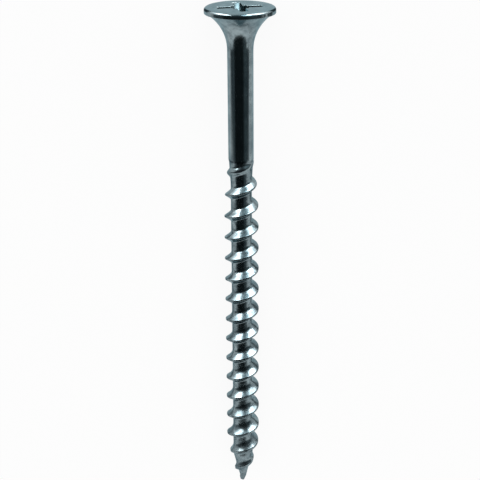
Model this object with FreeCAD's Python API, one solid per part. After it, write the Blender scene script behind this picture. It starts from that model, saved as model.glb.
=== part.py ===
import FreeCAD, Part
import math
import os

# A bugle head screw with one coarse thread, a cross recess and a sharp point, in one piece.
# Lengths are in millimetres and angles in degrees. The screw is shaped upright with its point
# down, and depths are measured from the flat top of the head. It is then laid on its side, on
# the rim of its head and on the last full turn of its thread, with the head towards +Y.

# Whole screw
length = 63.5

# Head
head_diameter = 8.2
rim_height = 0.67           # the upright band round the head, with its broken edges
rim_top_bevel = 0.26
rim_under_bevel = 0.07
seat_diameter = 7.57        # where the flare starts, under the rim
flare_angle = 53.0          # of the flare to the axis where it starts
neck_depth = 4.95           # where the flare has run out into the shank

# Shank and core
shank_diameter = 3.02
shank_end_depth = 17.94
core_diameter = 2.55
core_blend_length = 3.2     # the cone from the shank down to the core

# Thread
thread_diameter = 4.18
pitch = 2.781
crest_width = 0.16
upper_flank_angle = 23.5    # of a flank, where the thread starts, to a plane square to the axis
lower_flank_angle = 28.5
flank_opening = 21.5        # by this much both angles grow up to the thread's end
run_out_depth = 17.68       # where the crest leaves the shank
run_out_heading = 87.0      # where that is round the axis, counted from +X
run_out_turns = 3.0         # turns over which the crest then rises to its full height
lead_in_turns = 0.25        # the ridge starts this much earlier, under the shank's surface
blunt_share = 0.1           # how far a low crest widens towards the flanks of the full ridge
root_share = 0.8            # the ridge is rooted at this share of the radius of the body
sunk_share = 0.95           # its ends are sunk to this share of that radius

# Point
core_point_length = 4.4     # the cone that the core ends in
point_diameter = 0.34       # the point is a little blunt
crest_point_length = 6.6    # the length over which the crest draws in
crest_point_angle = 11.5    # of the crest to the axis there
thread_end_gap = 0.95       # from the end of the ridge to the point
thread_end_turns = 0.4      # turns over which the ridge sinks away
narrow_share = 0.4          # width of the ridge where it ends, as a share of its full width

# Cross recess
recess_span = 5.35          # over the tips of opposite wings, at the top
recess_turn = 11.0          # of the cross round the axis
wing_width = 0.98           # at the top
wing_tip_angle = 26.5       # of the wing tips to the axis
wing_side_angle = 2.9       # of a wing's sides to the axis
pocket_diagonal = 2.55      # over the corners of the middle pocket, at the top
pocket_side_angle = 6.0     # of the pocket's sides to the axis
pocket_floor_diameter = 2.2
pocket_floor_angle = 28.0   # of the pocket's floor to a plane square to the axis
cutter_rise = 0.5           # the recess cutter starts this far above the head

# Steps of the helices
points_in_turn = 14


def tan(degrees):
    return math.tan(math.radians(degrees))


def outline_point(radius, depth):
    """A point of the upright screw's outline."""
    return FreeCAD.Vector(radius, 0.0, -depth)


def line(start, end):
    return Part.LineSegment(start, end).toShape()


def turned(edges):
    """The solid that an outline, closed along the axis, makes when it is turned."""
    axis_point = FreeCAD.Vector(0.0, 0.0, 0.0)
    axis = FreeCAD.Vector(0.0, 0.0, 1.0)
    return Part.Face(Part.Wire(edges)).revolve(axis_point, axis, 360.0)


def flare():
    """The trumpet curve under the head: it leaves the seat at its angle and ends along the shank."""
    seat = seat_diameter / 2.0
    shank = shank_diameter / 2.0
    corner_depth = rim_height + (seat - shank) / tan(flare_angle)
    curve = Part.BezierCurve()
    curve.setPoles([
        outline_point(seat, rim_height),
        outline_point(shank, corner_depth),
        outline_point(shank, neck_depth),
    ])
    return curve.toShape()


def blank():
    """The screw before its thread is rolled: head, flare, shank, core and point."""
    head = head_diameter / 2.0
    shank = shank_diameter / 2.0
    core = core_diameter / 2.0
    rim = [
        outline_point(0.0, 0.0),
        outline_point(head - rim_top_bevel, 0.0),
        outline_point(head, rim_top_bevel),
        outline_point(head, rim_height - rim_under_bevel),
        outline_point(head - rim_under_bevel, rim_height),
        outline_point(seat_diameter / 2.0, rim_height),
    ]
    below_neck = [
        outline_point(shank, neck_depth),
        outline_point(shank, shank_end_depth),
        outline_point(core, shank_end_depth + core_blend_length),
        outline_point(core, length - core_point_length),
        outline_point(point_diameter / 2.0, length),
        outline_point(0.0, length),
        outline_point(0.0, 0.0),
    ]
    edges = [line(start, end) for start, end in zip(rim, rim[1:])]
    edges.append(flare())
    edges += [line(start, end) for start, end in zip(below_neck, below_neck[1:])]
    return turned(edges)


def body_radius(depth):
    """Radius of the blank at a depth below its neck."""
    shank = shank_diameter / 2.0
    core = core_diameter / 2.0
    point = point_diameter / 2.0
    blended = min(max((depth - shank_end_depth) / core_blend_length, 0.0), 1.0)
    point_cone = point + (core - point) * (length - depth) / core_point_length
    return min(shank + (core - shank) * blended, point_cone)


def crest_radius(turn):
    """The crest rises out of the shank, runs at full height and draws in towards the point."""
    full = thread_diameter / 2.0
    start = shank_diameter / 2.0
    to_rise = 1.0 - min(turn / run_out_turns, 1.0)
    depth = run_out_depth + turn * pitch
    drawn_in = max(depth - (length - crest_point_length), 0.0) * tan(crest_point_angle)
    return min(full - (full - start) * to_rise ** 2, full - drawn_in)


def ridge_section(turn, last_turn):
    """The ridge's four corners in the plane of the axis, as radius and depth, from the top down."""
    depth = run_out_depth + turn * pitch
    left = min((last_turn - turn) / thread_end_turns, 1.0)
    width_share = narrow_share + (1.0 - narrow_share) * left
    opened = flank_opening * max(turn, 0.0) / last_turn
    sunk = body_radius(depth) * sunk_share
    root = body_radius(depth) * root_share
    crest = crest_radius(turn)
    feet = []
    tops = []
    for side, angle in ((-1.0, upper_flank_angle), (1.0, lower_flank_angle)):
        slope = tan(angle + opened)
        top = crest_width / 2.0 + (thread_diameter / 2.0 - crest) * slope * blunt_share
        foot = top + (crest - root) * slope
        foot_depth = depth + side * foot * width_share
        feet.append((body_radius(foot_depth) * root_share, foot_depth))
        tops.append((sunk + (crest - sunk) * left, depth + side * top * width_share))
    return [feet[0], tops[0], tops[1], feet[1]]


def heading_at(turn):
    """Angle round the axis of the ridge's middle. A right hand thread goes down clockwise."""
    return math.radians(run_out_heading - 360.0 * turn)


def stretch(curve, start, end):
    """The piece of a helix between two of its steps."""
    piece = curve.copy()
    piece.segment(float(start), float(end))
    return piece


def ridge():
    """The thread's ridge: four strips between the helices of its corners, closed at both ends."""
    last_turn = (length - thread_end_gap - run_out_depth) / pitch
    steps = math.ceil((last_turn + lead_in_turns) * points_in_turn)
    rows = [[], [], [], []]
    for step in range(steps + 1):
        turn = -lead_in_turns + (last_turn + lead_in_turns) * step / steps
        across = FreeCAD.Vector(math.cos(heading_at(turn)), math.sin(heading_at(turn)), 0.0)
        for row, (radius, depth) in zip(rows, ridge_section(turn, last_turn)):
            row.append(across * radius - FreeCAD.Vector(0.0, 0.0, depth))
    helices = []
    for row in rows:
        helix = Part.BSplineCurve()
        helix.interpolate(Points=row, Parameters=[float(step) for step in range(steps + 1)])
        helices.append(helix)
    faces = []
    cuts = list(range(0, steps, points_in_turn)) + [steps]
    for start, end in zip(cuts, cuts[1:]):
        pieces = [stretch(helix, start, end) for helix in helices]
        for piece, neighbour in zip(pieces, pieces[1:] + pieces[:1]):
            faces.append(piece.makeRuledSurface(neighbour).toShape())
    for step in (0, steps):
        corners = [row[step] for row in rows]
        faces.append(Part.Face(Part.makePolygon(corners + corners[:1])))
    shell = Part.makeShell(faces)
    shell.sewShape()
    return Part.makeSolid(shell)


def tapered_prism(corners_above, corners_below, depth):
    """A closed form with straight sides between two flat outlines, above the head and down in it."""
    wires = []
    for corners, height in ((corners_above, cutter_rise), (corners_below, -depth)):
        points = [FreeCAD.Vector(x, y, height) for x, y in corners]
        wires.append(Part.makePolygon(points + points[:1]))
    return Part.makeLoft(wires, True, True)


def wing_corners(width):
    """The outline of one pair of wings, longer than the recess."""
    half_length = recess_span / 2.0 + cutter_rise
    half_width = width / 2.0
    return [(half_length, half_width), (-half_length, half_width),
            (-half_length, -half_width), (half_length, -half_width)]


def pocket_corners(diagonal):
    """The outline of the middle pocket: a square whose corners lie between the wings."""
    reach = diagonal / 2.0 * math.cos(math.radians(45.0))
    return [(reach, reach), (-reach, reach), (-reach, -reach), (reach, -reach)]


def recess_cutter():
    """The cross recess: two pairs of wings and a middle pocket, inside a cone that ends them."""
    tip_radius = recess_span / 2.0
    floor_radius = pocket_floor_diameter / 2.0
    floor_depth = (tip_radius - floor_radius) / tan(wing_tip_angle)
    depth = floor_depth + floor_radius * tan(pocket_floor_angle)
    narrowing = 2.0 * depth * tan(wing_side_angle)
    widening = 2.0 * cutter_rise * tan(wing_side_angle)
    wings = tapered_prism(wing_corners(wing_width + widening),
                          wing_corners(wing_width - narrowing), depth)
    crossing = wings.copy()
    crossing.rotate(FreeCAD.Vector(0.0, 0.0, 0.0), FreeCAD.Vector(0.0, 0.0, 1.0), 90.0)
    slant = tan(pocket_side_angle)
    pocket = tapered_prism(pocket_corners(pocket_diagonal + 2.0 * cutter_rise * slant),
                           pocket_corners(pocket_diagonal - 2.0 * depth * slant), depth)
    corners = [
        outline_point(0.0, -cutter_rise),
        outline_point(tip_radius + cutter_rise * tan(wing_tip_angle), -cutter_rise),
        outline_point(floor_radius, floor_depth),
        outline_point(0.0, depth),
    ]
    cone = turned([line(start, end) for start, end in zip(corners, corners[1:] + corners[:1])])
    cutter = wings.fuse([crossing, pocket]).common(cone)
    cutter.rotate(FreeCAD.Vector(0.0, 0.0, 0.0), FreeCAD.Vector(0.0, 0.0, 1.0), recess_turn)
    return cutter


def resting_tilt():
    """The angle of the axis to the floor, when head rim and thread both touch it."""
    rim_depth = rim_height - rim_under_bevel
    rise = run_out_heading / 360.0 - 0.25
    slopes = []
    for whole_turns in range(math.ceil((length - run_out_depth) / pitch)):
        turn = rise + whole_turns
        depth = run_out_depth + turn * pitch
        reach = depth + crest_width / 2.0 - rim_depth
        slopes.append((head_diameter / 2.0 - crest_radius(turn)) / reach)
    return math.degrees(math.atan(min(slopes)))


def laid_down(shape):
    """The upright screw laid on its side, its front up, with its middle over the origin."""
    tilt = math.radians(resting_tilt())
    head = head_diameter / 2.0
    head_end = (head - rim_top_bevel) * math.sin(tilt)
    point_end = -length * math.cos(tilt) - point_diameter / 2.0 * math.sin(tilt)
    rest_height = head * math.cos(tilt) + (rim_height - rim_under_bevel) * math.sin(tilt)
    laid = shape.copy()
    top = FreeCAD.Vector(0.0, 0.0, 0.0)
    laid.rotate(top, FreeCAD.Vector(1.0, 0.0, 0.0), -90.0 + math.degrees(tilt))
    laid.translate(FreeCAD.Vector(0.0, -(head_end + point_end) / 2.0, rest_height))
    return laid


def screw():
    """The finished screw, upright."""
    return blank().fuse(ridge()).cut(recess_cutter())


if __name__ == "__main__":
    os.makedirs("parts", exist_ok=True)
    solid = laid_down(screw().Solids[0])
    solid.exportStep("parts/screw.step")
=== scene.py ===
"""Dresses a coarse thread screw: one closed surface with its thread, cross recess and zinc finish,
laid on a pale floor under soft studio light. Everything is in metres, in the frame's own place."""

import math

import bpy
import numpy as np
from bpy.props import FloatProperty, FloatVectorProperty, IntProperty, PointerProperty
from bpy.types import Operator, Panel, PropertyGroup
from mathutils import Matrix, Vector


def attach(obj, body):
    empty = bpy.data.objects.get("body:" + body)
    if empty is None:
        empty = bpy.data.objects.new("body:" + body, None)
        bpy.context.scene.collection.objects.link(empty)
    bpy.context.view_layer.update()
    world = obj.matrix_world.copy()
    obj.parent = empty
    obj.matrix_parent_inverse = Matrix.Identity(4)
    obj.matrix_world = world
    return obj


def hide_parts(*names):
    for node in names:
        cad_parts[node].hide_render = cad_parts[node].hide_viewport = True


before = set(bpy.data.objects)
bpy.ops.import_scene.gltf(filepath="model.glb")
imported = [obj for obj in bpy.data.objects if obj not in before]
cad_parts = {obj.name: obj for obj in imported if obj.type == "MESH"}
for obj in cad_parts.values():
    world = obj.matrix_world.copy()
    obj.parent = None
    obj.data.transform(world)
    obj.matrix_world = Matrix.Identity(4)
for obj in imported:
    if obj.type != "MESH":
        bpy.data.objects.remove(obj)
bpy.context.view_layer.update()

bl_info = {
    "name": "Coarse thread screw",
    "version": (1, 0, 0),
    "blender": (4, 5, 0),
    "location": "3D View > Sidebar > Screw",
    "description": "Builds the visible surface of a coarse thread screw and its studio",
    "category": "Add Mesh",
}

MM = 0.001

# rows of faces on each part of the surface, from the recess's bottom to the point
BOTTOM_ROWS = 7
WALL_ROWS = 16
EDGE_ROWS = 4
TOP_ROWS = 8
RIM_ROWS = 9
FLARE_ROWS = 28
SHANK_ROWS = 14
POINT_ROWS = 7
# the rows along the thread start this many pitches above the crest's first point
HELIX_LEAD = 1.5
# how strongly they crowd at the crest, from nought to one
ROW_CROWDING = 0.75
# between the last of them and the ball at the point
BALL_GAP = 0.04 * MM

# the step in the surface starts and ends this far below the shank's end
STEP_START = 0.1 * MM
STEP_END = 0.35 * MM
# where the dark line of painted shade at that step starts, is full, thins and ends, in millimetres
PAINTED_SHADE_BAND = (-0.05, 0.07, 0.2, 0.36)
# how far that painted shade fades on the right
PAINTED_SHADE_FADE = 0.7
# how rough the forming left the flare, where the thread is one
FLARE_MARK = 0.6
# rounding between core and point, at the crest's bend to the point, and the least in a root
CONE_SOFTNESS = 0.05 * MM
CREST_SOFTNESS = 0.03 * MM
ROOT_SOFTNESS = 0.02 * MM
# the thread's end sinks to this share of the body's radius
SUNK_SHARE = 0.9
# turns for which the ridge is there before its crest leaves the shank
EARLY_TURNS = 0.6
# share of a pitch in which the upper root's softness changes to the lower root's
ROOT_CHANGE = 0.2
# length of the bent part of the point
LEAN_LENGTH = 7.5 * MM

# half the floor's side, and the share of plain white in it; the rest keeps the shadow
FLOOR_HALF = 1.5
FLOOR_WHITE = 0.9
# the dome's radius and the tint of its cloth
DOME_RADIUS = 0.6
CLOTH_TINT = (0.78, 1.0, 1.08, 1.0)
# columns and rows of points on a card
CARD_POINTS = 41
# level cards that only reflections see: for x and for y where the cover starts, is full, thins and
# ends, then the height, all in millimetres, and the brightness
CARDS = {
    "black_card": ((-85.0, -46.0, 14.0, 38.0), (-88.0, -35.0, 15.0, 40.0), 50.0, 0.015),
    "grey_card": ((-150.0, -75.0, 55.0, 100.0), (-92.0, -40.0, 10.0, 40.0), 51.0, 0.10),
    "floor_card": ((10.0, 14.0, 60.0, 90.0), (24.0, 27.0, 33.0, 36.0), 0.2, 0.10),
    "far_card": ((22.0, 28.0, 60.0, 75.0), (20.0, 22.5, 29.0, 31.0), 0.2, 0.10),
    "right_strip": ((4.3, 5.2, 7.2, 9.0), (-36.0, -33.0, 8.0, 13.0), 0.2, 0.12),
    "left_strip": ((-7.0, -6.0, -4.8, -4.0), (-36.0, -33.0, 8.0, 13.0), 0.2, 0.2),
    "right_card": ((4.6, 6.0, 10.0, 14.0), (30.2, 31.2, 36.0, 38.0), 0.2, 0.08),
    "left_card": ((-14.0, -10.0, -6.0, -4.6), (30.2, 31.2, 36.0, 38.0), 0.2, 0.08),
    "rim_card": ((12.0, 16.0, 150.0, 200.0), (14.0, 20.0, 31.0, 33.0), 9.0, 0.08),
    "recess_card": ((1.0, 3.0, 13.0, 15.0), (39.0, 42.0, 50.0, 52.0), 24.0, 4.5),
}
# upright softboxes beyond the head: left, right, lower and upper edge, in metres
LAMPS = {
    "lamp_right": (0.075, 0.40, 0.0, 0.22),
    "lamp_left": (-0.42, -0.15, 0.0, 0.28),
}
LAMP_DISTANCE = 0.30
LAMP_RADIANCE = 8.0

# the camera round the upright screw: its distance from the point of the axis that it aims at, its
# angle over the level, the height of that point and its roll
CAMERA_DISTANCE = 136.77 * MM
CAMERA_RAISED = 0.4007
CAMERA_AIM = -28.499 * MM
CAMERA_ROLL = 0.0073
# its focal length and shift in the picture's pixels, and its sensor in millimetres
PICTURE_WIDTH = 480.0
FOCAL_LENGTH = 1116.8
SHIFT = -1.656
SENSOR_WIDTH = 36.0


# Properties

def length(name, description, millimetres):
    """A length property, given here in millimetres and kept in metres."""
    return FloatProperty(name=name, description=description, default=millimetres * MM,
                         unit="LENGTH", subtype="DISTANCE", precision=5)


def angle(name, description, degrees):
    """An angle property, given here in degrees and kept in radians."""
    return FloatProperty(name=name, description=description, default=math.radians(degrees),
                         unit="ROTATION", subtype="ANGLE")


def share(name, description, value):
    """A plain number, such as a share of something or a count of turns."""
    return FloatProperty(name=name, description=description, default=value)


def colour(name, description, value):
    """A colour property, in linear red, green and blue."""
    return FloatVectorProperty(name=name, description=description, default=value, size=3,
                               subtype="COLOR", min=0.0, max=1.0)


class ScrewSizes(PropertyGroup):
    """Sizes of the screw. Most are those of the solid under it. The edges are rounder, the
    thread's roots are hollowed towards the point, and the point is rounded and leans a little."""
    total: length("Length", "Whole length, from the head's top to the point", 63.5)
    head_diameter: length("Head diameter", "Over the rim of the head", 8.2)
    rim_height: length("Rim height", "Height of the band round the head", 0.67)
    rim_top_round: length("Rim top round", "Radius of the rim's upper edge", 0.30)
    rim_under_round: length("Rim under round", "Radius of the rim's lower edge", 0.07)
    seat_diameter: length("Seat diameter", "Where the flare starts under the rim", 7.57)
    flare_angle: angle("Flare angle", "Of the flare to the axis where it starts", 53.0)
    neck_depth: length("Neck depth", "Where the flare has run out into the shank", 4.95)
    shank_diameter: length("Shank diameter", "Of the plain shank", 3.02)
    shank_end_depth: length("Shank end", "Depth at which the shank steps down to the core", 17.94)
    shank_end_step: length("Shank end step", "Small step where the rolled part starts", 0.05)
    core_diameter: length("Core diameter", "At the bottom of the thread", 2.55)
    core_blend_length: length("Core blend", "Length of the cone from shank to core", 3.2)
    thread_diameter: length("Thread diameter", "Over the crests of the thread", 4.18)
    pitch: length("Pitch", "From one crest to the next", 2.781)
    crest_width: length("Crest width", "Flat on the crest where the thread starts", 0.15)
    crest_widening: length("Crest widening", "By this much the flat grows up to the end", 0.12)
    crest_round: length("Crest round", "Softness of the crest's edges", 0.05)
    start_round: length("Start round", "Added softness of the low crest where it starts", 0.4)
    start_spread: share("Start spread", "How much flatter the flanks are where it starts", 1.5)
    upper_root_blend: length("Upper root", "How softly the upper flank meets the core", 0.85)
    lower_root_blend: length("Lower root", "How softly the lower flank meets the core", 0.17)
    upper_flank_angle: angle("Upper flank", "Of the flank to a plane square to the axis", 39.0)
    lower_flank_angle: angle("Lower flank", "Of the flank to a plane square to the axis", 33.5)
    run_out_depth: length("Run out", "Depth at which the crest leaves the shank", 17.68)
    run_out_heading: angle("Run out heading", "Where that is round the axis", 87.0)
    run_out_turns: share("Run out turns", "Turns over which the crest rises to full height", 3.0)
    blunt_share: share("Blunt share", "How far a low crest widens", 0.1)
    core_point_length: length("Core point", "Length of the cone that the core ends in", 4.4)
    point_diameter: length("Point diameter", "The point is a little blunt", 0.34)
    point_lean: length("Point lean", "By how much the point is bent to one side", 0.063)
    crest_point_length: length("Crest point", "Length over which the crest draws in", 6.6)
    crest_point_angle: angle("Crest point angle", "Of the crest to the axis there", 12.8)
    thread_end_gap: length("Thread end", "From the end of the thread to the point", 1.05)
    thread_end_turns: share("Thread end turns", "Turns over which the thread sinks away", 0.4)
    narrow_share: share("Narrow share", "Width of the thread where it ends", 0.4)
    recess_span: length("Recess span", "Over the tips of opposite wings", 5.35)
    recess_turn: angle("Recess turn", "Of the cross round the axis", 11.0)
    recess_round: length("Recess edge", "Radius of the recess's upper edge", 0.05)
    wing_width: length("Wing width", "At the top of the recess", 0.98)
    wing_tip_angle: angle("Wing tips", "Of the wing tips to the axis", 26.5)
    wing_side_angle: angle("Wing sides", "Of a wing's sides to the axis", 2.9)
    pocket_diagonal: length("Pocket diagonal", "Over the middle pocket's corners", 2.55)
    pocket_side_angle: angle("Pocket sides", "Of the pocket's sides to the axis", 6.0)
    pocket_floor_diameter: length("Pocket floor", "Where the wing tips end", 2.2)
    pocket_floor_angle: angle("Pocket floor slope", "Of the floor to the head's top", 28.0)
    tilt: angle("Tilt", "Of the axis to the floor, as the screw lies", 2.0530324693035)
    rest_height: length("Rest height", "Of the head's centre over the floor", 4.118862900043634)
    middle: length("Middle", "From the origin along the floor to the head", 31.66083649896237)
    rows_in_pitch: IntProperty(name="Rows", description="Rows of faces in one pitch", default=34)
    columns_in_octant: IntProperty(name="Columns", description="Columns of faces in 45 degrees",
                                   default=16)


class FinishColours(PropertyGroup):
    """Colours and gloss of the zinc finish and of the studio."""
    zinc_light: colour("Zinc", "The brighter places of the zinc finish", (0.28, 0.345, 0.365))
    zinc_dark: colour("Zinc shade", "The duller places of the zinc finish", (0.16, 0.21, 0.23))
    stain: colour("Stain", "The small dull specks in the finish", (0.085, 0.115, 0.13))
    zinc_edge: colour("Zinc at a glance", "Its tint seen at a flat angle", (0.52, 0.64, 0.68))
    punched: colour("Punched zinc", "The smooth walls of the recess", (0.24, 0.29, 0.30))
    # painted shade: a near black line under the small step at the shank's end, in the base colour
    seam: colour("Seam", "The dull line round the shank's end", (0.025, 0.033, 0.04))
    gloss: share("Roughness", "Of the zinc finish", 0.13)
    bumps: length("Bumps", "Height of the fine bumps that the rolling dies leave", 0.018)
    drawn_lines: length("Drawn lines", "Height of the fine lines along the shank", 0.0015)
    floor: colour("Floor", "The pale floor", (0.8, 0.8, 0.8))


# Surface of the screw

def smooth_min(a, b, soft):
    """The smaller of two values, rounded off by a parabola where they differ by less than soft."""
    near = np.maximum(soft - np.abs(a - b), 0.0)
    return np.minimum(a, b) - near ** 2 / (4.0 * soft)


def smooth_max(a, b, soft):
    """The larger of two values, rounded off by a parabola where they differ by less than soft."""
    return -smooth_min(-a, -b, soft)


def soft_step(values, start, end):
    """Nought before start, one after end, and a smooth curve between."""
    part = np.clip((values - start) / (end - start), 0.0, 1.0)
    return part * part * (3.0 - 2.0 * part)


def soft_band(values, start, full, thin, end):
    """Nought outside start and end, one between full and thin, and smooth curves between."""
    return soft_step(values, start, full) * (1.0 - soft_step(values, thin, end))


def body_radius(s, depth):
    """Radius without the thread: shank, small step, cone to the core, core, cone of the point."""
    shank = s.shank_diameter / 2.0
    core = s.core_diameter / 2.0
    tip = s.point_diameter / 2.0
    below_shank = depth - s.shank_end_depth
    blended = np.clip(below_shank / s.core_blend_length, 0.0, 1.0)
    step = s.shank_end_step * soft_step(below_shank, STEP_START, STEP_END) * (1.0 - blended)
    cone = tip + (core - tip) * (s.total - depth) / s.core_point_length
    return smooth_min(shank + (core - shank) * blended - step, cone, CONE_SOFTNESS)


def crest_radius(s, turn):
    """The crest leaves the shank on a parabola, runs level and draws in on a cone at the point."""
    full = s.thread_diameter / 2.0
    start = s.shank_diameter / 2.0
    to_rise = np.maximum(1.0 - turn / s.run_out_turns, 0.0)
    depth = s.run_out_depth + turn * s.pitch
    drawn_in = np.maximum(depth - (s.total - s.crest_point_length), 0.0)
    rising = full - (full - start) * to_rise ** 2
    return smooth_min(rising, full - drawn_in * math.tan(s.crest_point_angle), CREST_SOFTNESS)


def threaded_radius(s, around, depth):
    """Radius of body and thread at an angle round the axis and a depth.
    The thread's crest is a helix, and its ridge falls away from it on two straight flanks."""
    turn_here = (s.run_out_heading - around) / math.tau
    whole = np.round((depth - s.run_out_depth) / s.pitch - turn_here)
    turn = turn_here + whole
    offset = depth - (s.run_out_depth + turn * s.pitch)
    last_turn = (s.total - s.thread_end_gap - s.run_out_depth) / s.pitch
    left = np.clip((last_turn - turn) / s.thread_end_turns, 0.0, 1.0)
    done = np.clip(turn / last_turn, 0.0, 1.0)
    rising = np.clip(1.0 - turn / s.run_out_turns, 0.0, 1.0)

    body = body_radius(s, depth)
    sunk = body * SUNK_SHARE
    full_crest = crest_radius(s, turn)
    crest = sunk + (full_crest - sunk) * left
    crest_round = s.crest_round + s.start_round * rising ** 2
    half_flat = (s.crest_width + s.crest_widening * done) / 2.0
    lowered = s.thread_diameter / 2.0 - full_crest
    narrowed = s.narrow_share + (1.0 - s.narrow_share) * left
    ridge = crest
    for side, flank in ((-1.0, s.upper_flank_angle), (1.0, s.lower_flank_angle)):
        slope = math.tan(flank) * (1.0 + s.start_spread * rising ** 4)
        top = half_flat + lowered * slope * s.blunt_share
        fall = (side * offset - top * narrowed) / slope
        ridge = smooth_min(ridge, crest - fall, crest_round)
    ridge = np.where((turn < -EARLY_TURNS) | (turn > last_turn), 0.0, ridge)

    below = np.clip(0.5 + offset / (ROOT_CHANGE * s.pitch), 0.0, 1.0)
    upper_root = s.upper_root_blend * done
    soft = upper_root + (s.lower_root_blend - upper_root) * below
    return smooth_max(body, ridge, np.maximum(soft, ROOT_SOFTNESS))


def ring_rows(radii, depths, around):
    """Rows of points on circles round the axis, one for each radius and depth."""
    radii = np.asarray(radii, float)[:, None]
    depths = np.asarray(depths, float)[:, None]
    x = radii * np.cos(around)
    y = radii * np.sin(around)
    return np.stack([x, y, -depths + 0.0 * x], axis=-1)


def recess_floor(s):
    """Radius and depth at which the wings' sloping tips meet the recess's cone shaped bottom."""
    radius = s.pocket_floor_diameter / 2.0
    return radius, (s.recess_span / 2.0 - radius) / math.tan(s.wing_tip_angle)


def recess_outline(s, depth, widened):
    """The cross at one depth, from the middle of a wing's tip round the axis.
    In each octant it runs along the tip's arc, the wing's straight side and the pocket's side,
    with a quarter, a half and a quarter of the columns, and the next octant is its mirror image."""
    wing = s.wing_width / 2.0 - depth * math.tan(s.wing_side_angle) + widened
    pocket = (s.pocket_diagonal / 2.0 - depth * math.tan(s.pocket_side_angle)) \
        * math.cos(math.pi / 4.0) + widened
    tip = s.recess_span / 2.0 - depth * math.tan(s.wing_tip_angle) + widened
    floor_radius, floor_depth = recess_floor(s)
    if depth > floor_depth:
        tip = floor_radius - (depth - floor_depth) / math.tan(s.pocket_floor_angle)
    on_tip = s.columns_in_octant // 4
    on_side = s.columns_in_octant // 2
    on_pocket = s.columns_in_octant - on_tip - on_side
    corner_angle = math.asin(min(wing / max(tip, 1e-9), math.sin(math.pi / 8.0)))
    arc = np.linspace(0.0, corner_angle, on_tip, endpoint=False)
    along = np.linspace(0.0, 1.0, on_side, endpoint=False)
    across = np.linspace(0.0, 1.0, on_pocket + 1)
    start = np.array([math.cos(corner_angle), math.sin(corner_angle)]) * tip
    inner = np.array([pocket, wing])
    corner = np.array([pocket, pocket])
    points = np.concatenate([
        np.stack([tip * np.cos(arc), tip * np.sin(arc)], axis=-1),
        start + (inner - start) * along[:, None],
        inner + (corner - inner) * across[:, None],
    ])
    # towards the bottom the cone cuts the pocket's corners off
    reach = np.hypot(points[:, 0], points[:, 1])
    points *= np.minimum(1.0, tip / np.maximum(reach, 1e-12))[:, None]
    quarter = np.concatenate([points, points[-2:0:-1, ::-1]])
    quarters = []
    for step in range(4):
        cos, sin = math.cos(step * math.pi / 2.0), math.sin(step * math.pi / 2.0)
        quarters.append(quarter @ np.array([[cos, sin], [-sin, cos]]))
    return np.concatenate(quarters)


def recess_rows(s):
    """Rows from the recess's bottom, up its tapering walls and over its edge, which is a quarter
    circle, and the depth of its bottom."""
    floor_radius, floor_depth = recess_floor(s)
    bottom = floor_depth + floor_radius * math.tan(s.pocket_floor_angle)
    edge = s.recess_round
    levels = [(depth, 0.0) for depth in np.concatenate([
        np.linspace(bottom, floor_depth, BOTTOM_ROWS)[1:-1],
        np.linspace(floor_depth, edge, WALL_ROWS),
    ])]
    for step in range(1, EDGE_ROWS + 1):
        turned = step / EDGE_ROWS * math.pi / 2.0
        levels.append((edge * (1.0 - math.sin(turned)), edge * (1.0 - math.cos(turned))))
    cos, sin = math.cos(s.recess_turn), math.sin(s.recess_turn)
    rotation = np.array([[cos, sin], [-sin, cos]])
    rows = []
    for depth, widened in levels:
        outline = recess_outline(s, depth, widened) * (1.0, -1.0) @ rotation
        rows.append(np.column_stack([outline, np.full(len(outline), -depth)]))
    return np.array(rows), bottom


def head_profile(s):
    """Radii and depths from the head's flat top round the rim and down the flare to the neck.
    The rim's edges are quarter circles and the flare is a curve with its corner on the shank."""
    head = s.head_diameter / 2.0
    shank = s.shank_diameter / 2.0
    seat = s.seat_diameter / 2.0
    over = np.linspace(0.0, math.pi / 2.0, RIM_ROWS)
    top = s.rim_top_round
    under = s.rim_under_round
    corner_depth = s.rim_height + (seat - shank) / math.tan(s.flare_angle)
    t = np.linspace(0.0, 1.0, FLARE_ROWS)
    flare_radius = (1 - t) ** 2 * seat + (2 * t * (1 - t) + t ** 2) * shank
    flare_depth = (1 - t) ** 2 * s.rim_height + 2 * t * (1 - t) * corner_depth \
        + t ** 2 * s.neck_depth
    radii = np.concatenate([
        head - top + top * np.sin(over),
        head - under + under * np.cos(over),
        flare_radius,
    ])
    depths = np.concatenate([
        top - top * np.cos(over),
        s.rim_height - under + under * np.sin(over),
        flare_depth,
    ])
    return radii, depths


def head_rows(s, around, recess_edge, helix_start):
    """Rows from the recess's edge over the flat top, which blend the cross into a circle, and then
    rings round the rim, down the flare and down the shank to where the helix starts."""
    flat_radius = s.head_diameter / 2.0 - s.rim_top_round
    rim_ring = ring_rows([flat_radius], [0.0], around)[0]
    shares = np.linspace(0.0, 1.0, TOP_ROWS)[1:-1, None, None]
    top = recess_edge + (rim_ring - recess_edge) * shares
    radii, depths = head_profile(s)
    shank_depths = np.linspace(s.neck_depth, helix_start, SHANK_ROWS)[1:-1]
    shank_radii = np.full(len(shank_depths), s.shank_diameter / 2.0)
    rings = ring_rows(np.concatenate([radii, shank_radii]),
                      np.concatenate([depths, shank_depths]), around)
    return np.concatenate([top, rings])


def point_ball(s):
    """Radius of the ball at the point, and the angle of the cone that runs smoothly into it."""
    tip = s.point_diameter / 2.0
    cone = math.atan((s.core_diameter / 2.0 - tip) / s.core_point_length)
    return tip * math.cos(cone) / (1.0 - math.sin(cone)), cone


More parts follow.
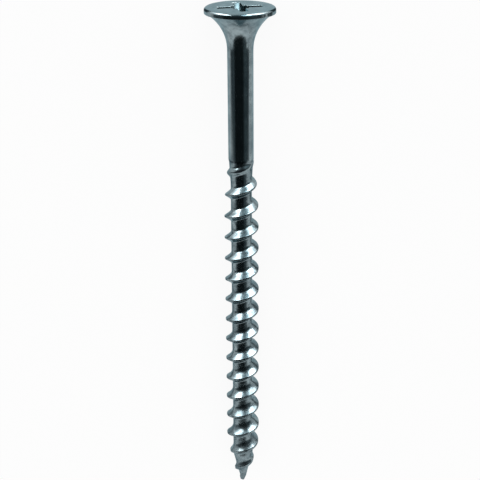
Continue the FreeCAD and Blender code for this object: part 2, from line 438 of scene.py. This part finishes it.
def helix_rows(s, around, helix_start):
    """Rows along the thread, and how many of them are full. A full row sinks by one pitch in one
    turn. Above them is a wedge of rows that start in one point, and below them one of rows that
    end in one point. Within a pitch the rows lie closer at the crest."""
    rows = s.rows_in_pitch
    spread = np.arange(rows) / rows - 0.5
    spread = spread - ROW_CROWDING * np.sin(math.tau * spread) / math.tau + 0.5
    turns = np.arange(math.ceil((s.total - helix_start) / s.pitch))
    levels = (helix_start + s.pitch * (turns[:, None] + spread)).ravel()
    ball, cone = point_ball(s)
    levels = levels[levels < s.total - ball * (1.0 - math.sin(cone)) - BALL_GAP]
    last = len(levels) - 1
    part = np.arange(len(around)) / len(around)
    upper = helix_start + (levels[:rows, None] - helix_start) * part
    full = levels[:last - rows + 1, None] + s.pitch * part
    lower_levels = levels[last - rows + 1:, None]
    lower = lower_levels + (levels[last] - lower_levels) * part
    depths = np.concatenate([upper, full, lower])
    radii = threaded_radius(s, around + 0.0 * depths, depths)
    points = np.stack([radii * np.cos(around), radii * np.sin(around), -depths], axis=-1)
    return points, len(full)


def point_rows(s, around):
    """Rings over the ball at the point, down to its pole."""
    ball, cone = point_ball(s)
    over = np.linspace(cone, math.pi / 2.0, POINT_ROWS)[:-1]
    return ring_rows(ball * np.cos(over), s.total - ball + ball * np.sin(over), around)


def quads_between(index):
    """Quads between the neighbouring rows and columns of a grid of point numbers."""
    quads = np.stack([index[:-1, :-1], index[:-1, 1:], index[1:, 1:], index[1:, :-1]], axis=-1)
    return quads.reshape(-1, 4)


def joined_rows(s, row_count, first_helix, helix_count, full_count):
    """Quads between each row and the next, with a pole at both ends. Each row gets one more
    column: a ring's is its own first point, a helix row's is the first point of the row one pitch
    lower, and in the lower wedge it is that wedge's last point."""
    columns = s.columns_in_octant * 8
    first_full = first_helix + s.rows_in_pitch
    end_helix = first_helix + helix_count
    index = np.arange(row_count * columns).reshape(-1, columns)
    index[first_helix:first_full + 1, 0] = index[first_helix, 0]
    following = index[:, 0].copy()
    wedge = np.arange(s.rows_in_pitch)
    following[first_helix + wedge] = index[first_full + wedge, 0]
    full = first_full + np.arange(full_count)
    following[full] = index[full + s.rows_in_pitch, 0]
    following[first_full + full_count:end_helix] = index[end_helix - 1, 0]
    low_pole = row_count * columns
    return quads_between(np.concatenate([
        np.full((1, columns + 1), low_pole),
        np.column_stack([index, following]),
        np.full((1, columns + 1), low_pole + 1),
    ]))


def surface_marks(s, points):
    """Numbers that the finish reads: how much a place was rolled into shape, and how much it lies
    on the dark line of painted shade at the shank's end, which fades to the right and on the
    thread's ridge."""
    x, depth = points[:, 0], -points[:, 2]
    flare = soft_band(depth, 0.5 * s.rim_height, 1.5 * s.rim_height,
                      0.8 * s.neck_depth, 1.6 * s.neck_depth)
    rolled = soft_step(depth, s.run_out_depth - 0.2 * s.pitch, s.run_out_depth + 0.3 * s.pitch)
    rolled = rolled * (1.0 + soft_step(depth, 0.7 * s.total, 0.99 * s.total))
    above_shank = np.hypot(x, points[:, 1]) - s.shank_diameter / 2.0
    on_ridge = soft_step(above_shank / MM, 0.02, 0.08)
    to_right = soft_step(x / MM, 0.0, 1.2)
    # painted shade: a dark line at the step where the shank ends, weaker on the right and off the
    # ridge
    seam = soft_band((depth - s.shank_end_depth) / MM, *PAINTED_SHADE_BAND)
    seam = seam * (1.0 - on_ridge) * (1.0 - PAINTED_SHADE_FADE * to_right)
    return {"rolled": np.maximum(rolled, FLARE_MARK * flare), "seam": seam}


def screw_surface(s):
    """Points and faces of the whole screw, upright, its head's top at height zero.
    Rows run from the bottom of the recess over the head and down to the point, and columns run
    clockwise round the axis. Along the thread the rows follow its helix, so the end of a row meets
    the start of the row one pitch lower, and wedges that shrink to one point join that to rings.
    Last, the point is bent to one side by a parabola."""
    columns = s.columns_in_octant * 8
    around = s.recess_turn - np.arange(columns) * math.tau / columns
    crest_turn = (s.run_out_heading - s.recess_turn) / math.tau
    helix_start = s.run_out_depth + s.pitch * (crest_turn - HELIX_LEAD)

    recess, bottom = recess_rows(s)
    head = head_rows(s, around, recess[-1], helix_start)
    helix, full_count = helix_rows(s, around, helix_start)
    grid = np.concatenate([recess, head, helix, point_rows(s, around)])
    quads = joined_rows(s, len(grid), len(recess) + len(head), len(helix), full_count)
    poles = [[0.0, 0.0, -bottom], [0.0, 0.0, -s.total]]
    points = np.concatenate([grid.reshape(-1, 3), poles])

    marks = surface_marks(s, points)
    marks["punched"] = np.zeros(len(points))
    marks["punched"][:(len(recess) - EDGE_ROWS // 2) * columns] = 1.0
    marks["punched"][-2] = 1.0
    flat = np.arange(len(quads)) < (len(recess) - EDGE_ROWS) * columns
    bent = np.clip((LEAN_LENGTH - s.total - points[:, 2]) / LEAN_LENGTH, 0.0, 1.0)
    points[:, 0] -= s.point_lean * bent ** 2
    return points, quads, flat, marks


def laid_down(s, points):
    """The upright screw laid on the floor: turned about the x axis, front up, and put in place."""
    x, y, z = points[:, 0], points[:, 1], points[:, 2]
    sin, cos = math.sin(s.tilt), math.cos(s.tilt)
    return np.column_stack([x, y * sin + z * cos + s.middle, -y * cos + z * sin + s.rest_height])


def mesh_from(name, points, quads, flat, marks):
    """A mesh of used points only, where a quad with two equal corners becomes a triangle.
    Faces are smooth but for the flat ones, and each mark becomes a number on the points."""
    same = quads == np.roll(quads, -1, axis=1)
    is_whole = ~same.any(axis=1)
    is_folded = same.sum(axis=1) == 1
    whole = quads[is_whole]
    triangles = quads[is_folded][~same[is_folded]].reshape(-1, 3)
    smooth = ~np.concatenate([flat[is_whole], flat[is_folded]])
    used, packed = np.unique(np.concatenate([whole.ravel(), triangles.ravel()]),
                             return_inverse=True)
    corners = packed.astype(np.int32)
    sizes = np.concatenate([np.full(len(whole), 4), np.full(len(triangles), 3)])
    starts = np.concatenate([[0], np.cumsum(sizes)[:-1]]).astype(np.int32)
    mesh = bpy.data.meshes.new(name)
    mesh.vertices.add(len(used))
    mesh.vertices.foreach_set("co", points[used].astype(np.float32).ravel())
    mesh.loops.add(len(corners))
    mesh.loops.foreach_set("vertex_index", corners)
    mesh.polygons.add(len(sizes))
    mesh.polygons.foreach_set("loop_start", starts)
    mesh.polygons.foreach_set("use_smooth", smooth)
    mesh.update(calc_edges=True)
    mesh.validate()
    for mark, values in marks.items():
        layer = mesh.attributes.new(mark, "FLOAT", "POINT")
        layer.data.foreach_set("value", values[used].astype(np.float32))
    return mesh


# Materials

def node(tree, kind, **settings):
    """A new node of a kind, with its settings."""
    made = tree.nodes.new(kind)
    for key, value in settings.items():
        setattr(made, key, value)
    return made


def cleared(owner):
    """The node tree of a material or world, in use and empty."""
    owner.use_nodes = True
    owner.node_tree.nodes.clear()
    return owner.node_tree


def mark(tree, name):
    """A number that the mesh carries on its points."""
    return node(tree, "ShaderNodeAttribute", attribute_name=name).outputs["Fac"]


def noise(tree, place, scale, detail):
    """A noise texture on the given coordinates; its output runs from nought to one."""
    made = node(tree, "ShaderNodeTexNoise")
    made.inputs["Scale"].default_value = scale
    made.inputs["Detail"].default_value = detail
    tree.links.new(place, made.inputs["Vector"])
    return made.outputs["Fac"]


def ranged(tree, value, low, high, start=0.0, end=1.0):
    """The value mapped from start and end to low and high, and held there beyond them."""
    made = node(tree, "ShaderNodeMapRange")
    made.inputs["From Min"].default_value = start
    made.inputs["From Max"].default_value = end
    made.inputs["To Min"].default_value = low
    made.inputs["To Max"].default_value = high
    tree.links.new(value, made.inputs["Value"])
    return made.outputs["Result"]


def product(tree, first, second):
    """One value times another, or times a plain number."""
    made = node(tree, "ShaderNodeMath", operation="MULTIPLY")
    tree.links.new(first, made.inputs[0])
    if isinstance(second, bpy.types.NodeSocket):
        tree.links.new(second, made.inputs[1])
    else:
        made.inputs[1].default_value = second
    return made.outputs["Value"]


def blend(tree, factor, low, high):
    """A colour between two others; the first of them may be another blend's output."""
    mix = node(tree, "ShaderNodeMix", data_type="RGBA")
    tree.links.new(factor, mix.inputs["Factor"])
    if isinstance(low, bpy.types.NodeSocket):
        tree.links.new(low, mix.inputs["A"])
    else:
        mix.inputs["A"].default_value = (*low, 1.0)
    mix.inputs["B"].default_value = (*high, 1.0)
    return mix.outputs["Result"]


def mixed(tree, factor, first, second):
    """A shader between two others."""
    mix = node(tree, "ShaderNodeMixShader")
    tree.links.new(factor, mix.inputs["Fac"])
    tree.links.new(first, mix.inputs[1])
    tree.links.new(second, mix.inputs[2])
    return mix.outputs["Shader"]


def bumped(tree, height, strength, distance, normal=None):
    """A bump that shifts the normal by a height; its strength may differ over the surface."""
    made = node(tree, "ShaderNodeBump")
    made.inputs["Distance"].default_value = distance
    tree.links.new(height, made.inputs["Height"])
    tree.links.new(strength, made.inputs["Strength"])
    if normal is not None:
        tree.links.new(normal, made.inputs["Normal"])
    return made.outputs["Normal"]


def zinc_material(colours):
    """Bright zinc on steel: a glossy metal with cloudy colour and gloss, fine lines along the
    drawn shank, small bumps and dull specks where the thread and the flare were formed, smooth
    recess walls and a dark line of painted shade at the small step round the shank's end."""
    material = bpy.data.materials.new("zinc_steel")
    material.use_nodes = True
    tree = material.node_tree
    shader = tree.nodes["Principled BSDF"]
    shader.inputs["Metallic"].default_value = 1.0
    shader.inputs["Specular Tint"].default_value = (*colours.zinc_edge, 1.0)
    place = node(tree, "ShaderNodeTexCoord").outputs["Object"]
    drawn = node(tree, "ShaderNodeMapping")
    drawn.inputs["Scale"].default_value = (1.0, 0.12, 1.0)
    tree.links.new(place, drawn.inputs["Vector"])
    rolled = mark(tree, "rolled")
    clouds = noise(tree, place, scale=600.0, detail=5.0)
    specks = noise(tree, place, scale=1900.0, detail=5.0)
    lumps = noise(tree, place, scale=2100.0, detail=2.0)
    lines = noise(tree, drawn.outputs["Vector"], scale=5000.0, detail=2.0)

    cloudy = ranged(tree, clouds, 0.0, 1.0, start=0.32, end=0.62)
    zinc = blend(tree, cloudy, colours.zinc_dark, colours.zinc_light)
    speck = ranged(tree, specks, 0.0, 1.0, start=0.46, end=0.70)
    zinc = blend(tree, product(tree, speck, ranged(tree, rolled, 0.25, 0.8)), zinc, colours.stain)
    zinc = blend(tree, mark(tree, "punched"), zinc, colours.punched)
    # painted shade: the dark line at the step round the shank's end
    zinc = blend(tree, mark(tree, "seam"), zinc, colours.seam)
    tree.links.new(zinc, shader.inputs["Base Color"])

    rough = ranged(tree, clouds, colours.gloss * 1.35, colours.gloss * 0.75, start=0.3, end=0.7)
    rough = product(tree, rough, ranged(tree, rolled, 1.0, 2.2, end=2.0))
    tree.links.new(rough, shader.inputs["Roughness"])

    lumpy = bumped(tree, lumps, ranged(tree, rolled, 0.08, 1.0), colours.bumps)
    lined = bumped(tree, lines, ranged(tree, rolled, 1.0, 0.6), colours.drawn_lines, lumpy)
    tree.links.new(lined, shader.inputs["Normal"])
    return material


def seen_directly(tree):
    """One where the camera, a mirror or a glass looks, and nought for light on a surface."""
    path = node(tree, "ShaderNodeLightPath")
    seen = path.outputs["Is Camera Ray"]
    for ray in ("Is Glossy Ray", "Is Transmission Ray"):
        either = node(tree, "ShaderNodeMath", operation="MAXIMUM")
        tree.links.new(seen, either.inputs[0])
        tree.links.new(path.outputs[ray], either.inputs[1])
        seen = either.outputs["Value"]
    return seen


def floor_material(colours):
    """A pale floor that is white to the eye and in reflections, and keeps the screw's shadow.
    A reflection that meets it at a flat angle sees its polish, and so the lamps behind."""
    material = bpy.data.materials.new("pale_floor")
    tree = cleared(material)
    out = node(tree, "ShaderNodeOutputMaterial")
    diffuse = node(tree, "ShaderNodeBsdfDiffuse")
    diffuse.inputs["Color"].default_value = (*colours.floor, 1.0)
    glow = node(tree, "ShaderNodeEmission")
    glow.inputs["Strength"].default_value = 1.0
    white = product(tree, seen_directly(tree), FLOOR_WHITE)
    pale = mixed(tree, white, diffuse.outputs["BSDF"], glow.outputs["Emission"])
    polish = node(tree, "ShaderNodeBsdfGlossy")
    polish.inputs["Roughness"].default_value = 0.05
    glance = node(tree, "ShaderNodeFresnel")
    glance.inputs["IOR"].default_value = 1.5
    path = node(tree, "ShaderNodeLightPath")
    polished = product(tree, path.outputs["Is Glossy Ray"], glance.outputs["Fac"])
    tree.links.new(mixed(tree, polished, pale, polish.outputs["BSDF"]), out.inputs["Surface"])
    return material


def cloth_material():
    """Dark cloth that thins out to nothing: it glows by its shade where it covers the white."""
    material = bpy.data.materials.new("dome_cloth")
    tree = cleared(material)
    out = node(tree, "ShaderNodeOutputMaterial")
    clear = node(tree, "ShaderNodeBsdfTransparent")
    cloth = node(tree, "ShaderNodeEmission")
    cloth.inputs["Color"].default_value = CLOTH_TINT
    tree.links.new(mark(tree, "shade"), cloth.inputs["Strength"])
    covered = mixed(tree, mark(tree, "cover"), clear.outputs["BSDF"], cloth.outputs["Emission"])
    tree.links.new(covered, out.inputs["Surface"])
    return material


# Stage

def build_floor(scene):
    """A level square under the screw."""
    mesh = bpy.data.meshes.new("floor")
    corners = [(-FLOOR_HALF, -FLOOR_HALF, 0.0), (FLOOR_HALF, -FLOOR_HALF, 0.0),
               (FLOOR_HALF, FLOOR_HALF, 0.0), (-FLOOR_HALF, FLOOR_HALF, 0.0)]
    mesh.from_pydata(corners, [], [(0, 1, 2, 3)])
    mesh.materials.append(floor_material(scene.screw_finish))
    floor = bpy.data.objects.new("floor", mesh)
    scene.collection.objects.link(floor)


def build_world(scene):
    """A plain white world."""
    world = bpy.data.worlds.new("studio")
    scene.world = world
    tree = cleared(world)
    out = node(tree, "ShaderNodeOutputWorld")
    sky = node(tree, "ShaderNodeBackground")
    sky.inputs["Color"].default_value = (1.0, 1.0, 1.0, 1.0)
    sky.inputs["Strength"].default_value = 1.0
    tree.links.new(sky.outputs["Background"], out.inputs["Surface"])


def shaded_piece(scene, name, points, rows, cover, shade, material):
    """A thin piece of the stage, a grid of points in so many rows, that only reflections see."""
    quads = quads_between(np.arange(len(points)).reshape(rows, -1))
    mesh = bpy.data.meshes.new(name)
    mesh.from_pydata(points.tolist(), [], quads.tolist())
    for key, values in (("cover", cover), ("shade", shade)):
        layer = mesh.attributes.new(key, "FLOAT", "POINT")
        layer.data.foreach_set("value", values.astype(np.float32))
    mesh.materials.append(material)
    piece = bpy.data.objects.new(name, mesh)
    piece.visible_camera = False
    piece.visible_diffuse = False
    piece.visible_shadow = False
    scene.collection.objects.link(piece)


def dome_shades(around, along):
    """How far the dome covers the white, and how bright it is, by its angles in degrees.
    Its lower edge is a parabola. A dark cloth hangs over the screw, thinner to the left above the
    head's end, and paler on the right and near the top."""
    edge = 9.0 * (around / 80.0) ** 2 - 29.0
    cloth = soft_step(along - edge, -5.0, 6.0) * (1.0 - soft_step(around, 68.0, 92.0))
    raised = soft_step(along, -5.0, 15.0)
    cloth = cloth * (1.0 - raised * (1.0 - soft_step(around, -90.0, -50.0)))
    paler = 0.22 * raised * soft_step(around, 0.0, 30.0) + 0.5 * soft_step(along, 38.0, 66.0)
    return cloth, 0.08 + paler


def build_dome(scene, material):
    """A dark cloth dome that only reflections see: a shiny metal looks dark where it shows this.
    It is a sphere round the screw's middle, by the angle round the screw and the one along it."""
    around, along = np.meshgrid(np.linspace(-90.0, 90.0, 91), np.linspace(-60.0, 89.0, 76))
    turned, raised = np.radians(around), np.radians(along)
    points = DOME_RADIUS * np.stack([np.cos(raised) * np.sin(turned), np.sin(raised),
                                     np.cos(raised) * np.cos(turned)], axis=-1).reshape(-1, 3)
    cover, shade = dome_shades(around.ravel(), along.ravel())
    shaded_piece(scene, "dome", points, len(around), cover, shade, material)


def build_card(scene, name, card, material):
    """A level card whose cover rises and falls softly over x and over y."""
    across, along, height, brightness = card
    x, y = np.meshgrid(np.linspace(across[0], across[-1], CARD_POINTS),
                       np.linspace(along[0], along[-1], CARD_POINTS))
    points = np.stack([x, y, height + 0.0 * x], axis=-1).reshape(-1, 3) * MM
    cover = (soft_band(x, *across) * soft_band(y, *along)).ravel()
    shade = np.full(len(points), brightness)
    shaded_piece(scene, name, points, CARD_POINTS, cover, shade, material)


def build_lamp(scene, name, left, right, low, high):
    """An upright softbox beyond the head, facing the screw. Only reflections see it."""
    data = bpy.data.lights.new(name, "AREA")
    data.shape = "RECTANGLE"
    data.size = right - left
    data.size_y = high - low
    data.energy = LAMP_RADIANCE * math.pi * data.size * data.size_y
    lamp = bpy.data.objects.new(name, data)
    middle = Vector(((left + right) / 2.0, LAMP_DISTANCE, (low + high) / 2.0))
    lamp.matrix_world = Matrix.Translation(middle) @ Matrix.Rotation(-math.pi / 2.0, 4, "X")
    lamp.visible_camera = False
    lamp.visible_diffuse = False
    scene.collection.objects.link(lamp)


def build_camera(scene):
    """The photograph's camera: it stands over the head and looks down along the screw.
    It is placed round the upright screw first and then laid down with it."""
    s = scene.screw_sizes
    sin, cos = math.sin(CAMERA_RAISED), math.cos(CAMERA_RAISED)
    stand = Vector((0.0, -CAMERA_DISTANCE * cos, CAMERA_DISTANCE * sin + CAMERA_AIM))
    look = Vector((0.0, cos, -sin))
    upward = Vector((0.0, sin, cos))
    roll = Matrix.Rotation(CAMERA_ROLL, 3, look)
    side = roll @ look.cross(upward)
    upward = roll @ upward
    sin, cos = math.sin(s.tilt), math.cos(s.tilt)
    lay = Matrix(((1.0, 0.0, 0.0), (0.0, sin, cos), (0.0, -cos, sin)))
    turned = Matrix((lay @ side, lay @ upward, lay @ -look)).transposed()
    place = lay @ stand + Vector((0.0, s.middle, s.rest_height))

    data = bpy.data.cameras.new("camera")
    data.sensor_width = SENSOR_WIDTH
    data.lens = SENSOR_WIDTH * FOCAL_LENGTH / PICTURE_WIDTH
    data.shift_x = SHIFT / PICTURE_WIDTH
    data.clip_start = 0.01
    data.clip_end = 10.0
    camera = bpy.data.objects.new("camera", data)
    camera.matrix_world = Matrix.Translation(place) @ turned.to_4x4()
    scene.collection.objects.link(camera)
    scene.camera = camera


# Operators

class ScrewBuild(Operator):
    """Build the screw's visible surface in place of the solid"""
    bl_idname = "screw.build"
    bl_label = "Build the screw"

    def execute(self, context):
        sizes = context.scene.screw_sizes
        points, quads, flat, marks = screw_surface(sizes)
        mesh = mesh_from("screw_surface", laid_down(sizes, points), quads, flat, marks)
        mesh.materials.append(zinc_material(context.scene.screw_finish))
        screw = bpy.data.objects.new("screw_surface", mesh)
        context.scene.collection.objects.link(screw)
        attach(screw, "root")
        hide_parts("screw")
        return {"FINISHED"}


class StageBuild(Operator):
    """Lay the floor, hang the cloth, the cards and the lamps, and set the camera"""
    bl_idname = "screw.stage"
    bl_label = "Build the studio"

    def execute(self, context):
        scene = context.scene
        build_floor(scene)
        build_world(scene)
        cloth = cloth_material()
        build_dome(scene, cloth)
        for name, card in CARDS.items():
            build_card(scene, name, card, cloth)
        for name, edges in LAMPS.items():
            build_lamp(scene, name, *edges)
        build_camera(scene)
        scene.view_settings.view_transform = "Standard"
        return {"FINISHED"}


class ScrewPanel(Panel):
    """Sizes and colours of the screw, and the steps that build it"""
    bl_idname = "VIEW3D_PT_screw"
    bl_label = "Coarse thread screw"
    bl_space_type = "VIEW_3D"
    bl_region_type = "UI"
    bl_category = "Screw"

    def draw(self, context):
        for group in (context.scene.screw_sizes, context.scene.screw_finish):
            box = self.layout.box()
            for name in group.__annotations__:
                box.prop(group, name)
        self.layout.operator(ScrewBuild.bl_idname)
        self.layout.operator(StageBuild.bl_idname)


CLASSES = (ScrewSizes, FinishColours, ScrewBuild, StageBuild, ScrewPanel)


def register():
    for each in CLASSES:
        bpy.utils.register_class(each)
    bpy.types.Scene.screw_sizes = PointerProperty(type=ScrewSizes)
    bpy.types.Scene.screw_finish = PointerProperty(type=FinishColours)


def unregister():
    del bpy.types.Scene.screw_finish
    del bpy.types.Scene.screw_sizes
    for each in reversed(CLASSES):
        bpy.utils.unregister_class(each)


def main():
    register()
    bpy.ops.screw.build()
    bpy.ops.screw.stage()


if __name__ == "__main__":
    main()
